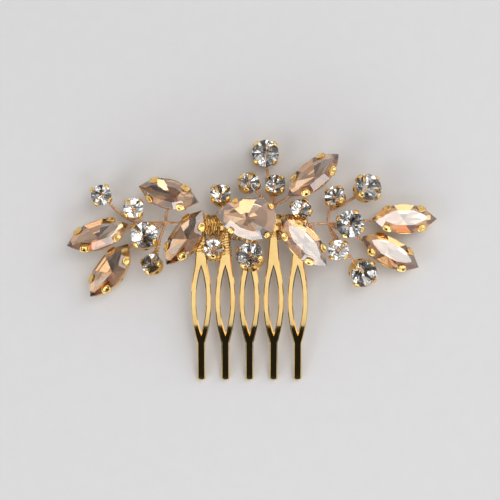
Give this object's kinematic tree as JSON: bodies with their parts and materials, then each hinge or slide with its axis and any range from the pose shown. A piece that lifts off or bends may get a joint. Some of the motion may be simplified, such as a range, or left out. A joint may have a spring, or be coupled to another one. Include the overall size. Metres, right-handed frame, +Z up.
{
  "type": "decorative hair comb",
  "caption": "Gilt hair comb whose spine carries a spray of champagne and clear crystals in claw cups on twisted wire.",
  "frame": {"origin": "middle of the whole comb's plan outline, on the surface it lies on", "axes": "+X towards the right-hand wing as seen from the front, +Y from the tooth tips to the crystal crown, +Z up out of the surface, the way the crystals face"},
  "size_m": [0.0855, 0.0559, 0.0116],
  "materials": {
    "gilt_comb": "polished gold plate",
    "gilt_setting": "polished gold plate",
    "rose_gold_wire": "bright drawn wire",
    "champagne_glass": "faceted, foil-backed",
    "clear_glass": "faceted, foil-backed"
  },
  "bodies": {
    "root": {"comb": "gilt_comb", "crystal_left_tip_round": "clear_glass", "crystal_left_upper_round": "clear_glass", "crystal_left_large_round": "clear_glass", "crystal_left_lower_round": "clear_glass", "crystal_left_upper_navette": "champagne_glass", "crystal_left_outer_navette": "champagne_glass", "crystal_left_lower_navette": "champagne_glass", "crystal_left_inner_navette": "champagne_glass", "crystal_centre_pear": "champagne_glass", "crystal_crown_top_round": "clear_glass", "crystal_crown_mid_round": "clear_glass", "crystal_crown_left_round": "clear_glass", "crystal_crown_right_round": "clear_glass", "crystal_spine_left_round": "clear_glass", "crystal_spine_middle_round": "clear_glass", "crystal_right_upper_navette": "champagne_glass", "crystal_right_inner_navette": "champagne_glass", "crystal_right_outer_navette": "champagne_glass", "crystal_right_lower_navette": "champagne_glass", "crystal_right_inner_round": "clear_glass", "crystal_right_upper_round": "clear_glass", "crystal_right_high_round": "clear_glass", "crystal_right_large_round": "clear_glass", "crystal_right_mid_round": "clear_glass", "crystal_right_low_round": "clear_glass", "setting_left_tip_round": "gilt_setting", "setting_left_upper_round": "gilt_setting", "setting_left_large_round": "gilt_setting", "setting_left_lower_round": "gilt_setting", "setting_left_upper_navette": "gilt_setting", "setting_left_outer_navette": "gilt_setting", "setting_left_lower_navette": "gilt_setting", "setting_left_inner_navette": "gilt_setting", "setting_centre_pear": "gilt_setting", "setting_crown_top_round": "gilt_setting", "setting_crown_mid_round": "gilt_setting", "setting_crown_left_round": "gilt_setting", "setting_crown_right_round": "gilt_setting", "setting_spine_left_round": "gilt_setting", "setting_spine_middle_round": "gilt_setting", "setting_right_upper_navette": "gilt_setting", "setting_right_inner_navette": "gilt_setting", "setting_right_outer_navette": "gilt_setting", "setting_right_lower_navette": "gilt_setting", "setting_right_inner_round": "gilt_setting", "setting_right_upper_round": "gilt_setting", "setting_right_high_round": "gilt_setting", "setting_right_large_round": "gilt_setting", "setting_right_mid_round": "gilt_setting", "setting_right_low_round": "gilt_setting", "left_spray_wire": "rose_gold_wire", "crown_spray_wire": "rose_gold_wire", "right_spray_wire": "rose_gold_wire", "spine_lashing_wire": "rose_gold_wire"}
  },
  "joints": []
}
